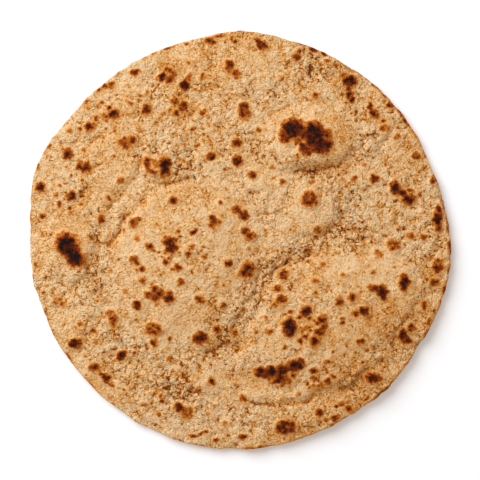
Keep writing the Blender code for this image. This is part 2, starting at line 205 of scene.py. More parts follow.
# Char marks: (x, y, length, width, heat). A heat over 1 gives a wide black middle.
CHAR_MARKS = (
    # Upper left.
    (-44.5, 71.3, 3.4, 2.6, 0.8, 10), (-33, 69.5, 2.8, 2.6, 1), (-30.3, 67.9, 2.6, 2.2, 0.9),
    (-30.5, 72, 3, 2.2, 0.65), (-28.4, 70.6, 2.4, 3.2, 0.75), (-35, 68.5, 1, 1, 0.6),
    (-23.5, 65.6, 3.4, 4, 1.15), (-21.7, 69.3, 2.6, 3.2, 0.55), (-15.5, 69.2, 2.8, 2.8, 0.5),
    (-22, 75.5, 2.2, 1.8, 0.42), (-24.8, 74.5, 1, 1, 0.55), (-4.3, 73.8, 3.8, 4.6, 0.85, 20),
    (-1.6, 70.4, 3.4, 3.6, 0.8), (-27.7, 58.7, 3, 2.6, 0.68), (-24, 57.4, 3.4, 1.8, 0.62),
    (-22.8, 56, 1.6, 2.4, 0.62), (-25.2, 55.8, 1.8, 1.6, 0.68), (-27, 54, 2, 1.8, 0.8),
    (-29.2, 55.2, 1, 1, 0.6), (-15.7, 54, 3.2, 2.6, 0.5), (-40, 55.3, 2.8, 3.4, 1.05),
    (-46.8, 58, 1.8, 1.6, 0.48), (-53.6, 53.8, 3.6, 3.4, 1.1), (-56.8, 50.8, 2.2, 2, 0.5),
    (-58.8, 58.7, 1.1, 1.1, 0.85), (-57.4, 57.3, 1.2, 0.9, 0.55, -30), (-56, 55.9, 1.4, 1.4, 0.8),
    (-58.5, 53, 1.8, 1.8, 0.42), (-61.3, 51.8, 1.8, 1.6, 0.65), (-64.2, 48.4, 3.4, 2.8, 0.95),
    (-61.8, 48.6, 1.8, 1.4, 0.5), (-68, 47.5, 1.8, 1.4, 0.6), (-72.5, 46, 2.4, 2, 0.34),
    (-57.3, 65.6, 2, 1.6, 0.8, 20), (-54.3, 66, 2.6, 3, 0.6), (-60, 63.7, 1.2, 1, 0.65),
    (-65.5, 58.6, 1.8, 1, 0.6, 20), (-64.4, 56, 2.4, 2.2, 0.32), (-36.8, 79.3, 2.2, 1.4, 0.6, 20),
    (-30.2, 82.2, 3, 1.2, 0.8, 15), (-22.5, 83.7, 1.6, 0.8, 0.7), (-12.8, 84.9, 2.4, 1.8, 0.85),
    (-11.2, 84.1, 2.2, 1.6, 0.8), (-8.3, 87, 4, 1.4, 0.6, 10), (-6.4, 84.6, 1, 1, 0.5),
    (-3.3, 86, 1.1, 2, 0.6), (-2, 84.5, 1.5, 1.2, 0.65), (-42.8, 61.3, 1.7, 1.5, 0.42),
    (-39.3, 62.4, 1.4, 2.6, 0.33), (-43, 65, 1.6, 1.8, 0.3), (-20.3, 47, 2.2, 2, 0.45),
    (-51, 41.2, 2.4, 2.6, 0.62), (-48.9, 42.6, 2.8, 2.2, 0.75, 20), (-46, 42.2, 3.4, 3, 0.85, -30),
    (-48.4, 39.7, 2.6, 2.2, 0.75), (-32, 31.3, 4, 7.8, 1.2, 4), (-30.4, 32.6, 2.2, 3.4, 0.8),
    (-39.6, 32.6, 2.6, 4, 0.85, 15), (-36.9, 28.8, 3.4, 1.9, 0.75, -15), (-38.8, 29.8, 1.8, 2.4, 0.6, 30),
    (-50.5, 25.2, 2.6, 2.4, 0.68, 30), (-73.2, 36.5, 3.8, 4.2, 1), (-75.3, 38.8, 1.4, 1.2, 0.6),
    (-66.2, 38, 1.8, 2, 0.56), (-68.2, 31.9, 2.2, 3, 0.95), (-65, 31, 3, 3.6, 1),
    (-66.8, 29.9, 2.2, 1.8, 0.7), (-74, 31, 1.2, 1.2, 0.5), (-85.9, 31.5, 1.1, 2.2, 0.65, -20),
    (-81.2, 40.2, 1.4, 2, 0.62, -30), (-85, 22.5, 3.4, 3.4, 1.1), (-76.5, 23.3, 1.3, 1.3, 0.58),
    (-78.2, 19.2, 1.5, 1.4, 0.6), (-76.6, 15.2, 1.9, 1.8, 0.68), (-71.5, 19, 3, 3.2, 1.05),
    (-83.8, 10.2, 2.8, 2.6, 0.6), (-58.8, 8.7, 2.6, 3, 1), (-55.7, 17.7, 2, 1.8, 0.52),
    (-45, 7, 3.6, 3.8, 0.74), (-43.2, 8.4, 2.6, 2.2, 0.55), (-28.4, 16.7, 3.4, 2.6, 0.85, 10),
    (-8.1, 15.6, 2, 1.8, 0.48), (-12, 35.5, 3.2, 2.4, 1), (-1.3, 41, 3.6, 3, 1.1),
    (-1.2, 33.6, 3.4, 3.8, 1.1), (-1.4, 13, 3.4, 3, 0.85), (1.5, 10.5, 4, 3.6, 0.88, -30),
    (-11.9, 9.2, 2.8, 2.8, 0.64), (-10, 7.4, 3.6, 3.4, 0.55), (-11.8, 6.1, 3, 2.4, 0.56),
    (-19.4, 3.2, 2.1, 2.1, 0.95), (-26, 3.4, 1.5, 1.5, 0.62), (-43.5, 0.5, 2.4, 2.2, 0.5),
    (-19, 22.2, 2.4, 1.8, 0.28), (-31, 4.8, 1.8, 1.6, 0.3),
    # Lower left.
    (-73.2, -2, 11, 9.8, 1.4, -56), (-70, -7, 9.2, 7.6, 1.3, -56), (-38, -2.6, 2.5, 2.6, 1.05),
    (-36, -4.8, 1.3, 1.3, 0.55), (-29.4, -0.9, 5.4, 4.6, 0.85), (-29, -3.6, 4.8, 4.4, 0.95),
    (-20.2, -3, 1.6, 1.6, 0.65), (-15.5, -3, 1.3, 1.2, 0.5), (-21.8, -6.3, 2.2, 2, 0.64),
    (-14.8, -6.8, 2.1, 2, 0.48), (-51.8, -8.2, 1.2, 1.2, 0.46), (-44.6, -8.2, 2.8, 2.6, 0.85),
    (-43.1, -10, 1.7, 1.4, 0.65), (-40.9, -12.1, 2.1, 2, 0.85), (-43.5, -13, 1.1, 1.1, 0.5),
    (-31.5, -9.2, 1.8, 2, 0.78), (-26.3, -11.7, 3.4, 3.8, 0.6), (-5.2, -10, 3.6, 3, 0.66),
    (-20.2, -13.3, 1.1, 1.1, 0.5), (-41.2, -17, 2.5, 2.5, 0.7), (-24.9, -18, 2.4, 2, 0.68),
    (-6.5, -19, 1.7, 1.6, 0.42), (-38.4, -23, 3.8, 3, 0.74), (-36, -21.2, 3.8, 2.8, 0.76),
    (-33.8, -22.4, 2.8, 3.2, 0.76), (-36, -24.6, 3.8, 2.6, 0.72), (-34.5, -27, 2, 1.5, 0.5),
    (-30, -24.3, 4.6, 4.8, 0.95), (-43.5, -27.6, 3.2, 3.3, 0.92), (-48.4, -22.3, 2.2, 2, 0.43),
    (-16.7, -25.3, 3.6, 3.8, 0.66), (-7, -27.8, 2.2, 2.2, 0.6), (-55.2, -30.8, 3, 2.4, 0.62),
    (-53.7, -34.4, 3, 4.2, 0.74), (-78.6, -26.8, 1.8, 1.6, 0.42), (-76.4, -25.2, 2, 1.6, 0.42),
    (-75.6, -27.6, 2.2, 1.6, 0.45), (-73.8, -26, 1.4, 1.4, 0.38), (-36.3, -44, 2.9, 3.1, 0.72),
    (-29.8, -41.8, 0.9, 0.9, 1), (-16.7, -41.7, 5.2, 5.2, 1.05), (-18.3, -41.6, 2.4, 3, 1.1),
    (-9.6, -37.8, 2.7, 3, 0.68), (-2.3, -39.5, 2.7, 2.7, 0.78), (-67.7, -35.8, 2.2, 2.2, 0.48),
    (-62.3, -38.8, 2.1, 1.8, 0.52), (-61, -43, 1.5, 1.3, 0.46), (-69.8, -44, 4.8, 3.8, 1.05),
    (-50.2, -49, 3.6, 3.2, 1.05, 20), (-44.8, -48, 1.1, 1.1, 0.8), (-29.7, -50.8, 2.6, 2.2, 0.5),
    (-61.8, -54.2, 4, 2.8, 1), (-57, -58.7, 3.5, 3.6, 0.98), (-59, -57, 2.2, 1.2, 0.75, -30),
    (-54.5, -61.7, 1.8, 1.6, 0.56), (-12, -59.9, 2.7, 2.6, 0.95), (-26.5, -57.3, 1.3, 1.2, 0.4),
    (-26, -71, 3.3, 3, 0.9), (-32.8, -68.5, 1.8, 1.4, 0.6), (-33.8, -66.2, 1, 2.2, 0.45),
    (-40.8, -69.8, 2.6, 1.8, 0.42), (-34.6, -74.4, 1.7, 1.6, 0.58), (-14.6, -81.7, 2.2, 1.6, 0.66, 20),
    (-17, -82.6, 3.4, 1, 0.52, 12), (-20.4, -83.4, 2.4, 1, 0.58, 5), (-10, -85.3, 1.9, 1.5, 0.62),
    (-87, -11, 1.3, 2.6, 0.52), (-66, -49.3, 1.8, 1.5, 0.34), (-6.5, -78, 1.6, 1.4, 0.36),
    (-83.7, -22.4, 1.6, 1.5, 0.38),
    # Lower right.
    (4, -3.8, 2.6, 2.2, 0.32), (2.2, -14.4, 5.4, 4.4, 0.9), (3.6, -11.4, 4.4, 4.6, 0.82),
    (18.6, -14.6, 4.4, 4.4, 0.64), (16.2, -20.7, 3.2, 2.4, 0.85), (17.4, -25.3, 4.4, 3.8, 0.74, 20),
    (14.6, -27.6, 2, 1.4, 0.5), (21.5, -30.3, 1.6, 1.4, 0.56), (10.8, -33, 2.5, 2, 0.44),
    (12.4, -38.6, 3, 2.8, 0.6), (7, -39, 2, 1.6, 0.4), (27.7, -30, 4.4, 4.4, 1.1),
    (25.4, -32.4, 2, 1.8, 0.8), (21, -36.7, 5.8, 7.2, 1.35), (34.6, -33.7, 3.8, 3.6, 0.8),
    (35.4, -36.8, 2.4, 3.6, 0.75), (33.8, -39, 4.6, 3.4, 0.8, 15), (31.4, -43, 3.8, 4.2, 0.95),
    (25.5, -42.3, 2.4, 2.4, 0.7), (28.4, -40.1, 1, 1, 0.75), (28.4, -36.8, 1.8, 1.4, 0.52),
    (30.6, -41.3, 1.4, 1.2, 0.5), (32, -17.5, 3.4, 2.4, 0.46, 20), (31.7, -22.3, 2.8, 1.3, 0.4),
    (35, -10.3, 2.4, 2.2, 0.38), (44, -15, 2.8, 2.4, 0.35), (56.2, -13.5, 2.5, 2, 0.46),
    (58.6, -5.8, 3.2, 3.2, 0.52), (47.3, -24.2, 3, 2.6, 0.86), (41.7, -26, 3.4, 3.5, 0.62),
    (55.5, -20.2, 3.4, 2.6, 0.76), (60, -22, 4.2, 5.4, 1.2), (57.6, -20.6, 2.4, 1.8, 0.85),
    (69.4, -18, 3.8, 6.6, 1.15), (70.6, -17.4, 3.4, 2, 0.8), (48.7, -31, 3, 3, 0.7),
    (52.3, -29.8, 3.8, 3.8, 0.95), (43.4, -33.2, 1.4, 1.4, 0.8), (43.4, -35.3, 1.4, 1.4, 0.78),
    (50.9, -43, 3, 1.8, 0.88, 10), (45, -44.7, 1.7, 1.7, 0.5), (19, -45.3, 2.3, 2, 0.46),
    (36.8, -51.3, 2.3, 2.1, 0.5), (8.8, -56.2, 4.6, 4.4, 1.1), (13.2, -56, 6.4, 4.8, 1.2, 5),
    (18.2, -54.8, 6.4, 4.4, 1.15, 20), (23.4, -52.9, 7, 4.8, 1.2, 15), (17.2, -58.8, 5.4, 5, 0.9),
    (14.6, -60.2, 4, 2.2, 0.6), (20.8, -60.2, 2.6, 2, 0.66), (22.6, -57.4, 1.6, 1.6, 0.75),
    (31, -55.5, 3.2, 2.2, 0.72), (31.2, -58.6, 2.3, 2, 0.58), (31.3, -61.5, 1.2, 1.2, 0.7),
    (33.3, -61.4, 1.3, 1.3, 0.75), (37.2, -59.9, 2.2, 2.2, 0.9), (39.6, -57.5, 2, 1.8, 0.62),
    (33.3, -58, 1, 1, 0.6), (34.6, -55, 1.1, 1.1, 0.5), (56.3, -58.6, 6, 3.8, 1.15, -10),
    (1.6, -67.3, 3, 2.6, 0.48), (24.9, -65.3, 1.7, 1.5, 0.52, 20), (33.6, -73.5, 2.4, 2.4, 0.92),
    (43.3, -69.4, 2.6, 1.8, 0.64), (46.3, -72, 3.4, 2, 0.64, -35), (40.3, -75.7, 3.2, 2.2, 0.78, 10),
    (36.5, -76.3, 2, 1.8, 0.45), (1.2, -83.6, 3.2, 2, 0.76), (78.3, -28, 2.4, 2.7, 0.7),
    (83, -11.9, 2, 4.2, 0.9, 12), (82.3, -18, 2.5, 2.8, 0.92), (72.8, -37.3, 3.6, 3, 0.72),
    (69, -40.6, 3.6, 5.4, 0.98, 10), (70.8, -43.2, 3.8, 3, 0.8, 10), (53.7, -67.5, 2.6, 1.3, 0.58, 30),
    (80.3, -34.6, 1.4, 3.4, 0.6, -20), (86.8, -20, 1.2, 2, 0.62), (88.7, -2, 0.9, 3.8, 0.75),
    (64, -30.8, 0.9, 0.9, 0.7),
    # Upper right.
    (9.7, 82.8, 3.6, 3.2, 1.1), (7.4, 84.8, 2.6, 1.6, 0.85, -35), (24.3, 77.9, 2.5, 3, 0.9),
    (24.9, 79.8, 1.3, 2.2, 0.7), (26, 83.4, 3.4, 0.9, 0.5, -5), (31.4, 81, 2.8, 1.2, 0.66, -20),
    (35.4, 79.3, 2.4, 1, 0.62, -15), (37.6, 76, 2.2, 1.3, 0.62), (46.7, 67.5, 4.9, 4.6, 1.25),
    (44.2, 70, 2.4, 2, 0.6), (46.6, 61.6, 3.2, 3, 0.85), (47.4, 59.5, 2.4, 2.8, 0.85),
    (43.6, 61.8, 1.1, 1.1, 0.75), (46.3, 64, 1.2, 2.2, 0.6), (32.2, 61.3, 2.9, 2.7, 0.56),
    (17.8, 68.5, 1.9, 1.7, 0.44), (40.3, 65.7, 1.3, 1.2, 0.44), (8, 46.6, 2.2, 2.2, 0.54),
    (22.5, 47, 9.6, 8.4, 1.5), (19.2, 43.4, 4.6, 5.4, 0.85, 20), (27, 45.6, 4.6, 4.6, 0.8),
    (31.4, 45.2, 8.6, 9.4, 1.5), (34.8, 40.2, 8, 7.4, 1.45), (37, 44.6, 4.2, 4.4, 0.7),
    (27.6, 38.6, 4.6, 4.6, 1.1), (31, 41, 6, 6, 0.95), (23.5, 41.5, 1.1, 1.1, 0.65),
    (25.8, 42.8, 4.4, 3.4, 0.5), (55.1, 57, 2, 2.6, 0.8, 20), (56.6, 54, 3.2, 3.4, 0.82),
    (58.8, 53, 1.9, 2.2, 0.8), (61, 50.6, 1.2, 1.1, 0.95), (61.3, 47.4, 3.6, 3, 0.52),
    (66.7, 43.7, 2.3, 2.2, 0.5), (67.4, 47.5, 1.3, 1.1, 0.5), (75.1, 35.8, 3.4, 3, 0.54, 20),
    (57.2, 26, 3.1, 2.9, 0.98, -20), (48.6, 26, 2.4, 2.2, 0.72), (66.3, 21.8, 4.2, 5.4, 1.2, 20),
    (71.7, 17.3, 4.2, 4.2, 1), (69, 19.6, 5, 3.6, 0.8, -40), (72.4, 20.9, 3, 1, 0.62),
    (84, 8.6, 3.8, 7.4, 1.15, 5), (84.2, 12.6, 1.8, 3.4, 0.85), (84, 5, 2.2, 2.2, 0.8),
    (81.9, 25, 1.6, 2.3, 0.8, -20), (52.5, 31.6, 1.8, 1.5, 0.4), (64.6, 31, 1.8, 1.6, 0.36),
    (13.9, 31.2, 1.9, 1.7, 0.46), (5.2, 27.6, 3.3, 3, 0.84), (18.3, 24.9, 2.5, 2.1, 0.48),
    (32.7, 4, 2.8, 2.6, 0.56), (2.1, 3.9, 3.4, 3, 0.66), (3.7, 1.8, 3.6, 3.2, 0.72),
    (72.5, 1.8, 2.6, 2.4, 0.5), (77.8, 1.1, 2.8, 2.6, 0.52), (64.5, 9, 2.2, 2, 0.3),
    (63.5, 57.5, 2, 2.4, 0.72), (56.6, 66.4, 1.5, 1.4, 0.5), (65, 60, 4.4, 1.3, 0.78, -48),
    (58.5, 65.2, 3.4, 1, 0.74, -40), (54.8, 69, 1.8, 1, 0.8, -40), (51.6, 71.2, 3.2, 1, 0.6, -35),
    (70.2, 50.6, 5.6, 1.1, 0.66, -52), (75, 44.6, 5, 1, 0.5, -56), (27.2, 30, 1.6, 1.6, 0.4),
)

# Char marks with a paler, blistered middle: (x, y, length, width, heat).
RING_MARKS = (
    (-36.6, -37.8, 6.4, 5.2, 0.95, 10), (19.5, -79.5, 7.8, 5.6, 1.25, 8), (29.5, 17.3, 6.2, 6.6, 1),
    (1.6, 54.6, 4.8, 6.4, 0.95), (-22.3, -73.4, 4, 4.6, 0.8), (65.1, -2.3, 5, 4.8, 0.85),
    (-37.2, 31.6, 6.4, 6.6, 0.34), (84.2, -11.2, 4.6, 5.4, 0.9),
)

# Places dotted with small dark specks: (x, y, radius, number of specks).
SPECKLED_PLACES = (
    (29.4, -37.6, 4.6, 26), (33.5, -58.5, 6, 18), (17.6, -59.5, 4, 12), (47, -48, 9, 14),
    (-34, -22.5, 6, 14), (-29, -3, 6, 12), (-28, -9, 9, 14), (-26, 56, 5, 10), (50, 60, 8, 14),
    (70, 18, 7, 10), (28, 42, 10, 12), (-54, 54, 8, 12), (40, -72, 9, 10), (-74, 20, 9, 10),
)


# ---- patterns over the plane

def cubic_weights(part):
    """The four cubic B-spline weights at a share of the way between two samples."""
    rest = 1.0 - part
    return (rest ** 3 / 6.0, (3.0 * part ** 3 - 6.0 * part ** 2 + 4.0) / 6.0,
            (3.0 * rest ** 3 - 6.0 * rest ** 2 + 4.0) / 6.0, part ** 3 / 6.0)


def spline_lookup(table, u, v):
    """Reads a square table smoothly at fractional places, wrapping at its edges."""
    size = len(table)
    whole_u = np.floor(u).astype(int)
    whole_v = np.floor(v).astype(int)
    weights_v = cubic_weights(v - whole_v)
    total = np.zeros_like(u)
    for i, weight_u in enumerate(cubic_weights(u - whole_u)):
        row = (whole_u + i - 1) % size
        for j, weight_v in enumerate(weights_v):
            total += weight_u * weight_v * table[row, (whole_v + j - 1) % size]
    return total


def soft_noise(x, y, wavelength, seed):
    """Smooth noise, mostly between -1 and 1, with bumps about one wavelength apart."""
    table = np.random.default_rng(seed).uniform(-2.2, 2.2, (256, 256))
    spacing = 0.5 * wavelength
    return spline_lookup(table, x / spacing + 77.0, y / spacing + 31.0)


def warped(x, y, amount, wavelength, seed):
    """Moves each point a little, so that what is drawn there gets uneven edges."""
    return (x + amount * soft_noise(x, y, wavelength, seed),
            y + amount * soft_noise(x, y, wavelength, seed + 1))


def pebbles(x, y, spacing, seed):
    """Rounded lumps packed side by side: 0 in the gaps between them, up to 1 on a crest."""
    size = 256
    table = np.random.default_rng(seed).random((size, size, 4))
    u = x / spacing + 100.0
    v = y / spacing + 100.0
    cell_u = np.floor(u).astype(int)
    cell_v = np.floor(v).astype(int)
    best = np.zeros_like(u)
    for step_u in (-1, 0, 1):
        for step_v in (-1, 0, 1):
            lumps = table[(cell_u + step_u) % size, (cell_v + step_v) % size]
            shift_u, shift_v, width, rise = lumps.T
            away_u = u - (cell_u + step_u + 0.1 + 0.8 * shift_u)
            away_v = v - (cell_v + step_v + 0.1 + 0.8 * shift_v)
            radius = 0.55 + 0.45 * width
            lump = (0.5 + 0.5 * rise) * (1.0 - (away_u ** 2 + away_v ** 2) / radius ** 2)
            best = np.maximum(best, lump)
    return best


def soft_step(distance, edge, softness):
    """1 well inside an edge, 0 well outside it."""
    return 1.0 / (1.0 + np.exp((distance - edge) / softness))


def turned(x, y, centre_x, centre_y, turn=0.0):
    """Places seen from a centre, along and across a direction."""
    cosine = math.cos(math.radians(turn))
    sine = math.sin(math.radians(turn))
    along = cosine * (x - centre_x) + sine * (y - centre_y)
    across = cosine * (y - centre_y) - sine * (x - centre_x)
    return along, across


def patches(x, y, table):
    """Soft-edged patches, joined by their strongest amount at each point."""
    total = np.zeros_like(x)
    for centre_x, centre_y, half_length, half_width, amount, *turn in table:
        along, across = turned(x, y, centre_x, centre_y, *turn)
        distance = np.hypot(along / half_length, across / half_width)
        total = np.maximum(total, amount * np.exp(-0.9 * distance ** 4))
    return total


def along_line(x, y, points):
    """The distance to a line through points, the side of it (1 on the left of the way along
    it, -1 on the right), and how far along it the nearest place is from the nearer end."""
    nearest = np.full_like(x, np.inf)
    side = np.ones_like(x)
    run = np.zeros_like(x)
    length = 0.0
    for (x0, y0), (x1, y1) in zip(points, points[1:]):
        step_x, step_y = x1 - x0, y1 - y0
        step = math.hypot(step_x, step_y)
        share = np.clip(((x - x0) * step_x + (y - y0) * step_y) / step ** 2, 0.0, 1.0)
        distance = np.hypot(x - x0 - share * step_x, y - y0 - share * step_y)
        closer = distance < nearest
        nearest[closer] = distance[closer]
        side[closer] = np.sign(step_x * (y - y0) - step_y * (x - x0))[closer]
        run[closer] = (length + share * step)[closer]
        length += step
    return nearest, side, np.minimum(run, length - run)


def folded(x, y):
    """The height of the creases and folds, and how deep in a crease each point lies, which the top's colour
    uses as painted shade.
    """
    crease_depth_and_shade = np.zeros_like(x)
    for half_width, depth, points in CREASES:
        distance, _, _ = along_line(x, y, points)
        crease_depth_and_shade = np.maximum(crease_depth_and_shade, depth * np.exp(-(distance / half_width) ** 2))
    relief = -crease_depth_and_shade
    openness = np.clip(0.6 + 1.5 * soft_noise(x, y, 6.0, 43), 0.0, 1.3)
    for width, height, points in FOLDS:
        distance, side, from_end = along_line(x, y, points)
        fade = height * np.clip(from_end / FOLD_END, 0.0, 1.0)
        from_shoulder = side * distance - SHOULDER_PLACE * width
        shoulder = np.exp(-(from_shoulder / (SHOULDER_WIDTH * width)) ** 2)
        hollow = np.exp(-(distance / width) ** 2)
        crack = openness * np.exp(-(distance / CRACK_WIDTH) ** 2)
        relief += fade * (SHOULDER_HEIGHT * shoulder - hollow - CRACK_DEPTH * crack)
        crease_depth_and_shade = np.maximum(crease_depth_and_shade, fade * (0.5 * hollow + 1.8 * crack))
    return relief, crease_depth_and_shade


# ---- the form, from the CAD node

class Form:
    """The CAD solid's outline and its upper and lower surfaces, as smooth functions."""

    def __init__(self, solid):
        places = np.array([vertex.co for vertex in solid.data.vertices]) / MM
        self.edge = self.read_outline(places)
        faces = [tuple(face.vertices) for face in solid.data.polygons]
        tree = BVHTree.FromPolygons([tuple(place) for place in places], faces)
        self.reach = math.ceil(1.1 * np.abs(places[:, :2]).max() / FORM_STEP)
        self.top = self.read_heights(tree, from_above=True)
        self.bottom = self.read_heights(tree, from_above=False)

    def read_outline(self, places):
        """The farthest point in each direction."""
        turns = np.degrees(np.arctan2(places[:, 1], places[:, 0])) % 360.0
        steps = np.round(turns * OUTLINE_STEPS / 360.0).astype(int) % OUTLINE_STEPS
        edge = np.zeros(OUTLINE_STEPS)
        np.maximum.at(edge, steps, np.hypot(places[:, 0], places[:, 1]))
        return edge

    def edge_radius(self, angle):
        edge = np.append(self.edge, self.edge[0])
        return np.interp(angle % 360.0, np.linspace(0.0, 360.0, OUTLINE_STEPS + 1), edge)

    def read_heights(self, tree, from_above):
        """Heights on a square grid. Past the rim they are the rim's own."""
        ticks = np.arange(-self.reach, self.reach + 1) * FORM_STEP
        start, way = (FORM_START, -1.0) if from_above else (-FORM_START, 1.0)
        heights = np.zeros((len(ticks), len(ticks)))
        for i, x in enumerate(ticks):
            for j, y in enumerate(ticks):
                limit = self.edge_radius(math.degrees(math.atan2(y, x))) - FORM_MARGIN
                distance = math.hypot(x, y)
                pull = limit / distance if distance > limit else 1.0
                hit = tree.ray_cast(Vector((x * pull, y * pull, start)), Vector((0.0, 0.0, way)))
                heights[i, j] = hit[0].z
        return heights

    def height(self, table, x, y):
        return spline_lookup(table, x / FORM_STEP + self.reach, y / FORM_STEP + self.reach)


# ---- the skin

class Skin(NamedTuple):
    """What the crust is like at each of some points."""
    relief: np.ndarray     # how far it stands out from the form, in millimetres
    crest: np.ndarray      # 0 in the gaps of the crumb, 1 on its lumps
    # Charring, and the browned rim, which is darker towards the lower right as painted shade.
    char: np.ndarray       # 0 unburnt, 1 charred black
    # Golden toasting, and painted shade in the creases, the cracks, the valley and on the slopes at the
    # lower right.
    toast: np.ndarray      # 0 pale, 1 golden brown
    crumbly: np.ndarray    # 0 a smooth skin, 1 coarse crumb


def mixed(first, second, share):
    """A skin a share of the way from the first skin to the second one."""
    return Skin(*(one * (1.0 - share) + other * share for one, other in zip(first, second)))


def mark_distance(along, across, length, width):
    """How far a point lies outside a mark's edge, below 0 inside, and the mark's mean radius."""
    radius = 0.5 * math.sqrt(length * width)
    return (np.hypot(along / (0.5 * length), across / (0.5 * width)) - 1.0) * radius, radius


def mark_warmth(outside, radius):
    """1 in the middle of a mark, falling softly inside its edge, with a faint halo."""
    softness = 1.0 / (1.3 + 1.3 / radius)
    inset = 0.1 + 0.19 * radius + 0.25 * max(0.0, radius - 3.0)
    core = soft_step(outside, -inset, softness) / soft_step(-radius, -inset, softness)
    return 0.85 * core + 0.15 * soft_step(outside, HALO_REACH, 1.0 / 3.0)


def mark_field(x, y, marks, rings):
    """Heat, blister height, and the pale discs round the marks and those discs' edges,
    joined over all marks. Rings are marks with a paler middle."""
    heat, blister, pale, edge = (np.zeros_like(x) for _ in range(4))
    for mark in marks + rings:
        centre_x, centre_y, length, width, top_heat, *turn = mark
        reach = 0.6 * max(length, width) + MARK_REACH
        near = (np.abs(x - centre_x) < reach) & (np.abs(y - centre_y) < reach)
        along, across = turned(x[near], y[near], centre_x, centre_y, *turn)
        outside, radius = mark_distance(along, across, length, width)
        warmth = top_heat * mark_warmth(outside, radius)
        if mark in rings:
            warmth *= 1.0 - RING_FADE * np.exp(-((outside + radius) / (0.55 * radius)) ** 2)
        heat[near] += warmth ** 3
        rise = min(HIGHEST_BLISTER, 0.10 + 0.14 * radius)
        dome = rise * soft_step(outside, BLISTER_REACH, 0.22)
        swell = dome - 0.35 * rise * np.exp(-((outside - GROOVE_PLACE) / 0.45) ** 2)
        blister[near] = np.maximum(blister[near], swell) + np.minimum(0.0, swell)
        amount = min(1.0, 0.4 + 0.3 * radius)
        disc = soft_step(outside, PALE_REACH, 0.25)
        pale[near] = np.maximum(pale[near], amount * disc)
        edge[near] = np.maximum(edge[near], amount * 4.0 * disc * (1.0 - disc))
    return np.cbrt(heat), blister, pale, edge


def freckles(seed, count, place, radius, sizes, heats):
    """Small marks at random places within a radius of a place."""
    rng = np.random.default_rng(seed)
    distance = radius * np.sqrt(rng.random(count))
    turn = rng.uniform(0.0, 2.0 * math.pi, count)
    size = rng.uniform(*sizes, count)
    heat = rng.uniform(*heats, count)
    x = place[0] + distance * np.cos(turn)
    y = place[1] + distance * np.sin(turn)
    return tuple(zip(x, y, size, size, heat))


def rim_browning_and_shade(form, x, y, seed):
    """Browning along the very edge, in stretches of uneven strength, with painted shade: stronger towards
    the lower right, away from the light, and weaker at the upper left.
    """
    turn = np.arctan2(y, x)
    inside = form.edge_radius(np.degrees(turn)) - np.hypot(x, y)
    around = (90.0 * np.cos(turn), 90.0 * np.sin(turn))
    # Painted shade: the rim is darker on the lower right, away from the light, and paler on the upper left.
    strength = 0.12 + 0.14 * np.cos(turn + math.radians(30.0))
    strength += 0.12 * soft_noise(*around, 20.0, seed) + 0.22 * soft_noise(*around, 4.5, seed + 1)
    return np.clip(strength, 0.0, 0.75) * np.exp(-(np.clip(inside, 0.0, None) / 1.3) ** 2)


def top_marks(form, x, y):
    """The top's heat, blisters, pale discs and their edges, from its marks and its specks."""
    mark_x, mark_y = warped(x, y, 0.36, 2.3, 50)
    heat, blister, pale, edge = mark_field(mark_x, mark_y, CHAR_MARKS, RING_MARKS)
    specks = freckles(60, 330, (0.0, 0.0), 88.0, (0.7, 1.5), (0.12, 0.40))
    for seed, (*place, reach, count) in enumerate(SPECKLED_PLACES, 61):
        specks += freckles(seed, count, place, reach, (0.5, 1.0), (0.3, 0.9))
    speck_heat, speck_blister, _, _ = mark_field(mark_x, mark_y, specks, ())
    heat = np.maximum.reduce([heat, speck_heat, rim_browning_and_shade(form, x, y, 70)])
    return heat, blister + 0.6 * speck_blister, pale, edge


def top_crumbly(x, y, pale):
    """How crumbly the top is. The pale discs round the marks are smoother."""
    crumbly = 0.5 + 0.12 * soft_noise(x, y, 20.0, 1) + 0.15 * soft_noise(x, y, 8.0, 2)
    crumbly += 0.6 * patches(x, y, CRUMBLY_PATCHES) - 0.45 * patches(x, y, SMOOTH_PATCHES)
    return np.clip(crumbly, 0.08, 1.2) * (1.0 - 0.7 * pale)


def top_toast(x, y, crumbly):
    """The top's golden toasting, with painted shade in the valley and on the slopes at the lower right,
    before that of its creases and marks.
    """
    golden = np.clip(soft_noise(x, y, 6.0, 83) - 0.25, 0.0, 1.0)
    toast = 0.27 + 0.11 * soft_noise(x, y, 30.0, 84) + 0.15 * soft_noise(x, y, 13.0, 80)
    toast += 0.30 * golden + 0.12 * soft_noise(x, y, 5.0, 81) * (0.5 + crumbly)
    return toast + 0.35 * patches(x, y, TOAST_AND_SHADE_PATCHES) - 0.2 * patches(x, y, PALE_PATCHES)


def top_skin(form, x, y):
    heat, blister, pale, edge = top_marks(form, x, y)
    crumbly = top_crumbly(x, y, pale)
    crumb_x, crumb_y = warped(x, y, 0.5, 3.2, 10)
    large = pebbles(crumb_x, crumb_y, LARGE_CRUMBS, 20)
    small = pebbles(crumb_x, crumb_y, SMALL_CRUMBS, 21)
    crest = np.clip(0.65 * large + 0.55 * small, 0.0, 1.0)
    fold_x, fold_y = warped(x, y, 1.0, 6.0, 40)
    fold, crease_depth_and_shade = folded(*warped(fold_x, fold_y, 0.5, 2.2, 42))
    crack = crumbly * np.exp(-(soft_noise(*warped(x, y, 0.5, 2.5, 33), 9.0, 32) / 0.16) ** 2)
    relief = fold + blister + crumbly * (0.7 * large + 0.55 * small - 0.5)
    relief += 0.28 * soft_noise(x, y, 3.5, 31) * (0.4 + crumbly)
    relief += 0.38 * soft_noise(x, y, 7.0, 30) * (0.5 + crumbly) - 0.35 * crack

    # Painted shade: the creases, folds and cracks are darkened through the toast.
    toast = top_toast(x, y, crumbly) + 0.35 * crack + 0.8 * crease_depth_and_shade - 0.27 * pale
    toast += 0.3 * edge * np.clip(0.5 + soft_noise(x, y, 12.0, 85), 0.0, 1.0)
    return Skin(relief, crest, char=np.clip(heat, 0.0, 1.3), toast=np.clip(toast, 0.0, 1.0),
                crumbly=np.clip(crumbly, 0.0, 1.2))


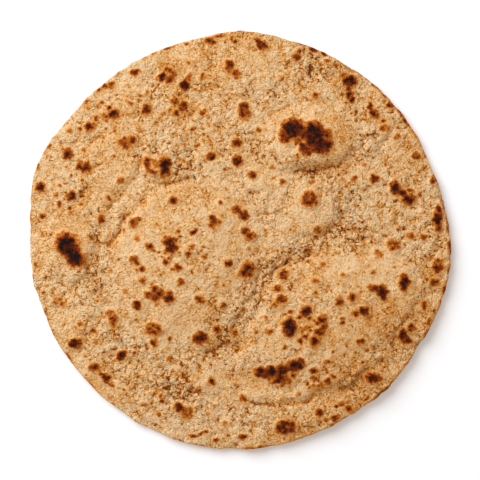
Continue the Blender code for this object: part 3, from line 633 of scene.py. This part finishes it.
def under_skin(form, x, y):
    """The side that lies on the surface, flat where it touches, with hollows above it."""
    crest = np.clip(pebbles(*warped(x, y, 0.5, 3.2, 110), UNDER_CRUMBS, 120), 0.0, 1.0)
    marks = freckles(160, 70, (0.0, 0.0), 84.0, (2.2, 7.0), (0.45, 1.15))
    marks += freckles(161, 90, (0.0, 0.0), 86.0, (1.4, 2.6), (0.4, 0.7))
    heat = mark_field(*warped(x, y, 0.4, 3.0, 150), marks, ())[0]
    heat = np.maximum(heat, rim_browning_and_shade(form, x, y, 170))
    toast = 0.34 + 0.16 * soft_noise(x, y, 20.0, 180) + 0.1 * soft_noise(x, y, 6.0, 181)
    crumbly = 0.6 + 0.3 * soft_noise(x, y, 26.0, 182)
    return Skin(-0.35 * (1.0 - crest), crest, char=np.clip(heat, 0.0, 1.0),
                toast=np.clip(toast, 0.0, 1.0), crumbly=np.clip(crumbly, 0.0, 1.0))


# ---- the mesh

def ring_start(ring):
    """The number of the first point of a ring, in a disc whose ring k has 6 k points."""
    return 0 if ring == 0 else 1 + 3 * ring * (ring - 1)


def disc_points(rings):
    """Each point's share of the radius and its angle, ring by ring from the middle."""
    shares = [np.zeros(1)]
    angles = [np.zeros(1)]
    for ring in range(1, rings + 1):
        shares.append(np.full(6 * ring, ring / rings))
        angles.append(np.arange(6 * ring) * 60.0 / ring)
    return np.concatenate(shares), np.concatenate(angles)


def disc_triangles(rings):
    """The triangles between the rings, anticlockwise from above."""
    triangles = []
    for ring in range(1, rings + 1):
        outer = ring_start(ring)
        inner = ring_start(ring - 1)
        inner_count = max(1, 6 * (ring - 1))
        for sector in range(6):
            step = np.arange(ring + 1)
            far = outer + (sector * ring + step) % (6 * ring)
            near = inner + (sector * (ring - 1) + step) % inner_count
            triangles.append(np.stack([far[:-1], far[1:], near[:-1]], axis=1))
            triangles.append(np.stack([near[:-2], far[1:-1], near[1:-1]], axis=1))
    return np.concatenate(triangles)


def band_triangles(upper, lower, count):
    """The triangles of a band between two rows of as many points, facing outwards."""
    here = np.arange(count)
    following = (here + 1) % count
    return np.concatenate([
        np.stack([upper + following, upper + here, lower + here], axis=1),
        np.stack([upper + following, lower + here, lower + following], axis=1)])


def seam_triangles(rim, under, count):
    """Joins the rim's last row to an underside ring with a third of its points."""
    ring = np.arange(count // 3)
    near, far = under + ring, under + (ring + 1) % (count // 3)
    first, second, third, fourth = (rim + (3 * ring + step) % count for step in range(4))
    return np.concatenate([
        np.stack([second, first, near], axis=1),
        np.stack([third, second, near], axis=1),
        np.stack([third, near, far], axis=1),
        np.stack([fourth, third, far], axis=1)])


def bread_triangles():
    """The triangles of the whole bread: its top, its rim, and its underside with the seam."""
    triangles = [disc_triangles(TOP_RINGS)]
    row_start = ring_start(TOP_RINGS)
    for _ in range(RIM_ROWS):
        triangles.append(band_triangles(row_start, row_start + RIM_POINTS, RIM_POINTS))
        row_start += RIM_POINTS
    under_start = row_start + RIM_POINTS
    triangles.append(disc_triangles(UNDER_RINGS)[:, ::-1] + under_start)
    under_edge = under_start + ring_start(UNDER_RINGS)
    triangles.append(seam_triangles(row_start, under_edge, RIM_POINTS))
    return np.concatenate(triangles)


def plane_places(form, share, angle):
    radius = share * (form.edge_radius(angle) - RIM_ROUNDING)
    return radius * np.cos(np.radians(angle)), radius * np.sin(np.radians(angle))


def top_points(form):
    """The points of the top, out to the start of the rim's rounding, and their skin."""
    x, y = plane_places(form, *disc_points(TOP_RINGS))
    skin = top_skin(form, x, y)
    return np.stack([x, y, form.height(form.top, x, y) + skin.relief], axis=1), skin


def rim_row_points(form, row):
    """One row of points on the rim's half round, from its top (0) to its last row, and their
    skin, which changes from the top's to the underside's."""
    angle = np.arange(RIM_POINTS) * 360.0 / RIM_POINTS
    edge_x, edge_y = plane_places(form, np.ones(RIM_POINTS), angle)
    upper = form.height(form.top, edge_x, edge_y)
    lower = form.height(form.bottom, edge_x, edge_y)
    way_x, way_y = np.cos(np.radians(angle)), np.sin(np.radians(angle))
    turn = math.pi * row / RIM_ROWS
    x = edge_x + RIM_ROUNDING * math.sin(turn) * way_x
    y = edge_y + RIM_ROUNDING * math.sin(turn) * way_y
    skin = mixed(top_skin(form, x, y), under_skin(form, x, y), 0.5 - 0.5 * math.cos(turn))
    bulge = skin.relief * math.sin(turn)
    height = 0.5 * (upper + lower) + (0.5 * (upper - lower) + skin.relief) * math.cos(turn)
    return np.stack([x + bulge * way_x, y + bulge * way_y, height], axis=1), skin


def underside_points(form):
    """The points of the underside, in from the seam with the rim, and their skin."""
    share, angle = disc_points(UNDER_RINGS)
    x, y = plane_places(form, share * UNDER_RINGS / (UNDER_RINGS + 1.0), angle)
    skin = under_skin(form, x, y)
    return np.stack([x, y, form.height(form.bottom, x, y) - skin.relief], axis=1), skin


def shape_bread(form):
    """All points of the bread in millimetres, and the skin at each of them."""
    parts = [top_points(form)]
    parts += [rim_row_points(form, row) for row in range(1, RIM_ROWS + 1)]
    parts.append(underside_points(form))
    places, skins = zip(*parts)
    return np.concatenate(places), Skin(*map(np.concatenate, zip(*skins)))


def add_unwrap(mesh, triangles, places):
    """Top and underside laid out flat as two discs in opposite corners of the square."""
    top_size, under_size, margin = 0.36, 0.13, 1.02
    last_row = ring_start(TOP_RINGS) + RIM_POINTS * RIM_ROWS
    under = np.repeat((triangles >= last_row).any(axis=1), 3)[:, None]
    flat = places[triangles.reshape(-1), :2] / (margin * np.abs(places[:, :2]).max())
    spots = np.where(under, 1.0 + (flat - 1.0) * under_size, (flat + 1.0) * top_size)
    layer = mesh.uv_layers.new(name="OFBake")
    layer.data.foreach_set("uv", spots.astype(np.float32).reshape(-1))


def build_bread(form):
    places, skin = shape_bread(form)
    triangles = bread_triangles()
    mesh = bpy.data.meshes.new(PIECE)
    mesh.from_pydata((places * MM).tolist(), [], triangles.tolist())
    mesh.shade_smooth()
    for name in STORED:
        layer = mesh.attributes.new(name, "FLOAT", "POINT")
        layer.data.foreach_set("value", getattr(skin, name).astype(np.float32))
    add_unwrap(mesh, triangles, places)
    bread = bpy.data.objects.new(PIECE, mesh)
    bpy.context.scene.collection.objects.link(bread)
    return bread


# ---- materials

class Nodes:
    """Short ways to add and join shader nodes."""

    def __init__(self, name):
        self.material = bpy.data.materials.new(name)
        self.material.use_nodes = True
        self.tree = self.material.node_tree
        self.shader = self.tree.nodes["Principled BSDF"]
        self.patterns = {}    # outputs by name, for blend

    def add(self, kind, inputs, **settings):
        """Adds a node. An input is a plain value, or an output to link from."""
        node = self.tree.nodes.new("ShaderNode" + kind)
        for name, value in settings.items():
            setattr(node, name, value)
        self.feed(node, inputs)
        return node

    def feed(self, node, inputs):
        for name, value in inputs.items():
            if isinstance(value, bpy.types.NodeSocket):
                self.tree.links.new(value, node.inputs[name])
            else:
                node.inputs[name].default_value = value

    def stored(self, name):
        """A number stored on the mesh."""
        return self.add("Attribute", {}, attribute_name=name).outputs["Fac"]

    def blend(self, total, **weights):
        """Adds the named patterns to a number, each one with its weight."""
        for name, weight in weights.items():
            inputs = {0: self.patterns[name], 1: weight, 2: total}
            total = self.add("Math", inputs, operation="MULTIPLY_ADD").outputs[0]
        return total

    def product(self, total, *factors):
        for factor in factors:
            total = self.add("Math", {0: total, 1: factor}, operation="MULTIPLY").outputs[0]
        return total

    def ease(self, value, low, high, start=0.0, end=1.0):
        """Runs smoothly from start to end as a value goes from low to high."""
        inputs = {"Value": value, "From Min": low, "From Max": high, "To Min": start, "To Max": end}
        return self.add("MapRange", inputs, interpolation_type="SMOOTHSTEP").outputs["Result"]

    def ramp(self, value, stops):
        """Colours along a value. Each stop is (place, sRGB colour from 0 to 255)."""
        node = self.add("ValToRGB", {"Fac": value})
        elements = node.color_ramp.elements
        while len(elements) < len(stops):
            elements.new(1.0)
        for element, (place, colour) in zip(elements, stops):
            element.position = place
            element.color = linear(colour)
        return node.outputs["Color"]

    def mix(self, share, first, second):
        inputs = {0: share, 6: first, 7: second}
        return self.add("Mix", inputs, data_type="RGBA").outputs[2]

    def cells(self, place, spacing):
        """Rounded lumps about one spacing apart: 0 on their crests, and most in the gaps."""
        inputs = {"Vector": place, "Scale": 1.0 / spacing, "Smoothness": 0.15}
        distance = self.add("TexVoronoi", inputs, feature="SMOOTH_F1").outputs["Distance"]
        return self.product(distance, distance)

    def gaps(self, place, spacing):
        """Thin gaps between grains about one spacing apart: 1 in a gap, 0 on the grains."""
        inputs = {"Vector": place, "Scale": 1.0 / spacing}
        distance = self.add("TexVoronoi", inputs, feature="DISTANCE_TO_EDGE").outputs["Distance"]
        return self.ease(distance, 0.0, 0.14, 1.0, 0.0)

    def pricks(self, place, spacing):
        """Pinpricks: 1 in the middle of some cells about one spacing apart, 0 all round."""
        spots = self.add("TexVoronoi", {"Vector": place, "Scale": 1.0 / spacing}).outputs
        near = self.ease(spots["Distance"], 0.08, 0.22, 1.0, 0.0)
        return self.product(near, self.ease(spots["Color"], 0.5, 0.62))

    def noise(self, place, scale, detail, roughness=0.55):
        """Noise from 0 to 1, with about as many bumps in a millimetre as its scale."""
        inputs = {"Vector": place, "Scale": scale, "Detail": detail, "Roughness": roughness}
        return self.add("TexNoise", inputs).outputs["Fac"]


def linear(colour):
    """An sRGB colour from 0 to 255 as linear red, green, blue and alpha."""
    parts = [part / 255.0 for part in colour]
    bright = [part / 12.92 if part <= 0.04045 else ((part + 0.055) / 1.055) ** 2.4 for part in parts]
    return bright + [1.0]


def crust_patterns(nodes):
    """Gives the nodes the patterns stored on the mesh, and those of the finest crumb."""
    nodes.patterns.update({name: nodes.stored(name) for name in STORED})
    place = nodes.add("TexCoord", {}).outputs["Object"]
    place = nodes.add("VectorMath", {0: place, 3: 1.0 / MM}, operation="SCALE").outputs[0]
    bend = nodes.add("TexNoise", {"Vector": place, "Scale": 0.35, "Detail": 3.0}).outputs["Color"]
    inputs = {0: bend, 1: (CRUMB_BEND,) * 3, 2: place}
    bent = nodes.add("VectorMath", inputs, operation="MULTIPLY_ADD").outputs[0]
    spread = nodes.noise(place, 0.16, 2.0)
    blotch = nodes.noise(place, 0.22, 3.0)
    rough = nodes.blend(0.15, crumbly=1.5)
    lump_share = nodes.ease(spread, 0.40, 0.60, 0.2, 1.0)
    crumb_share = nodes.ease(spread, 0.45, 0.60, 1.0, 0.5)
    gap_share = nodes.ease(blotch, 0.35, 0.6, 0.3, 1.0)
    nodes.patterns.update(
        crest=nodes.product(nodes.patterns["crest"], rough),
        lumps=nodes.product(nodes.cells(bent, LUMP_SPACING), rough, lump_share),
        crumbs=nodes.product(nodes.cells(bent, CRUMB_SPACING), rough, crumb_share),
        grains=nodes.product(nodes.cells(bent, GRAIN_SPACING), nodes.blend(0.6, crumbly=0.6)),
        gaps=nodes.product(nodes.gaps(bent, LUMP_SPACING), nodes.patterns["crumbly"], gap_share),
        pricks=nodes.pricks(place, PRICK_SPACING),
        grit=nodes.noise(place, 1.5, 3.0, 0.75),
        clods=nodes.noise(place, 0.8, 2.0),
        scorch=nodes.noise(place, 0.55, 2.0),
        blotch=blotch)


def crust_colour(nodes):
    """The colour of unburnt crust: cream, through gold, to brown. It is darker in the gaps of the crumb and
    lighter on its lumps as painted shade and highlight, with the crust's own grain.
    """
    # Painted shade and highlight: the crumb's cells, gaps and grains darken the colour and its crests
    # lighten it; grit and clods are the crust's own grain.
    nodes.patterns["pits"] = nodes.blend(
        -1.335, lumps=0.5, crumbs=0.85, grains=0.85, grit=1.2, clods=0.6, crest=-0.35, gaps=0.32)
    tone = nodes.blend(0.075, toast=0.6, pits=1.06, pricks=0.4, crumbly=-0.46, blotch=0.6)
    return nodes.ramp(tone, (
        (0.0, (254, 214, 162)), (0.3, (244, 190, 126)), (0.55, (229, 160, 81)),
        (0.8, (200, 116, 38)), (1.0, (150, 72, 16))))


def burnt_colour(nodes, burn):
    """The colour of burnt crust: gold, through red brown, to black."""
    return nodes.ramp(burn, (
        (0.03, (240, 180, 96)), (0.09, (232, 154, 64)), (0.17, (210, 122, 40)), (0.27, (164, 78, 22)),
        (0.40, (120, 48, 14)), (0.60, (80, 28, 6)), (0.95, (30, 22, 22))))


def crust_material():
    nodes = Nodes("crust")
    crust_patterns(nodes)
    mottle = nodes.blend(-2.63, grit=1.5, scorch=3.2, grains=0.4, crest=0.2)
    burn = nodes.product(nodes.patterns["char"], nodes.ease(mottle, -0.65, 0.65, 0.40, 1.1))
    share = nodes.ease(burn, 0.0, 0.16)
    height = nodes.blend(
        0.0, lumps=-0.55, crumbs=-0.72, grains=-0.85, grit=1.05, clods=0.6, pricks=-0.5, gaps=-0.36)
    bump = nodes.add("Bump", {"Height": height, "Distance": BUMP_DEPTH * MM, "Strength": 1.0})
    nodes.feed(nodes.shader, {
        "Base Color": nodes.mix(share, crust_colour(nodes), burnt_colour(nodes, burn)),
        "Roughness": nodes.ease(burn, 0.5, 0.95, 0.82, 0.62),
        "Specular IOR Level": 0.06,
        "Normal": bump.outputs[0]})
    return nodes.material


def floor_material():
    nodes = Nodes("floor_white")
    nodes.feed(nodes.shader, {
        "Base Color": linear((254, 254, 254)),
        "Emission Color": linear((240, 248, 255)),
        "Emission Strength": FLOOR_GLOW,
        "Roughness": 0.9,
        "Specular IOR Level": 0.0})
    return nodes.material


# ---- studio

def add_floor():
    mesh = bpy.data.meshes.new("floor")
    mesh.from_pydata(FLOOR_CORNERS, [], [(0, 1, 2, 3)])
    mesh.materials.append(floor_material())
    floor = bpy.data.objects.new("floor", mesh)
    bpy.context.scene.collection.objects.link(floor)


def add_sky():
    """Even light from all round."""
    world = bpy.data.worlds.new("studio")
    world.use_nodes = True
    background = world.node_tree.nodes["Background"]
    background.inputs["Color"].default_value = SKY_COLOUR
    background.inputs["Strength"].default_value = SKY_STRENGTH
    bpy.context.scene.world = world


def add_key_light():
    """A large soft light at the upper left."""
    light = bpy.data.lights.new("key", "AREA")
    light.shape = "DISK"
    light.size = KEY_SIZE
    light.energy = KEY_POWER
    light.color = KEY_COLOUR
    lamp = bpy.data.objects.new("key", light)
    tilt, turn = math.radians(KEY_TILT), math.radians(KEY_TURN)
    out = math.sin(tilt)
    lamp.location = Vector((out * math.cos(turn), out * math.sin(turn), math.cos(tilt))) * KEY_DISTANCE
    lamp.rotation_euler = (0.0, tilt, turn)
    bpy.context.scene.collection.objects.link(lamp)


def add_camera():
    """Looks straight down on the bread."""
    camera = bpy.data.cameras.new("camera")
    camera.lens = CAMERA_LENS
    viewer = bpy.data.objects.new("camera", camera)
    viewer.location = (0.0, 0.0, VIEW_WIDTH * camera.lens / camera.sensor_width)
    bpy.context.scene.collection.objects.link(viewer)
    bpy.context.scene.camera = viewer


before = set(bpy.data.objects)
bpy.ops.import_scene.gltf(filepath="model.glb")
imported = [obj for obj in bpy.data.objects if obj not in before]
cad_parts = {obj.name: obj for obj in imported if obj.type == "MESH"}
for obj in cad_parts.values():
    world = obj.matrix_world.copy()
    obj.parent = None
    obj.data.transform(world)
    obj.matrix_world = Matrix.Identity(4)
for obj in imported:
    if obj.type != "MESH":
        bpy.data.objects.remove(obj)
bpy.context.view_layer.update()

form = Form(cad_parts[NODE])
bread = build_bread(form)
bread.data.materials.append(crust_material())
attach(bread, "root")
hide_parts(NODE)

add_floor()
add_sky()
add_key_light()
add_camera()
bpy.context.scene.view_settings.view_transform = "Standard"
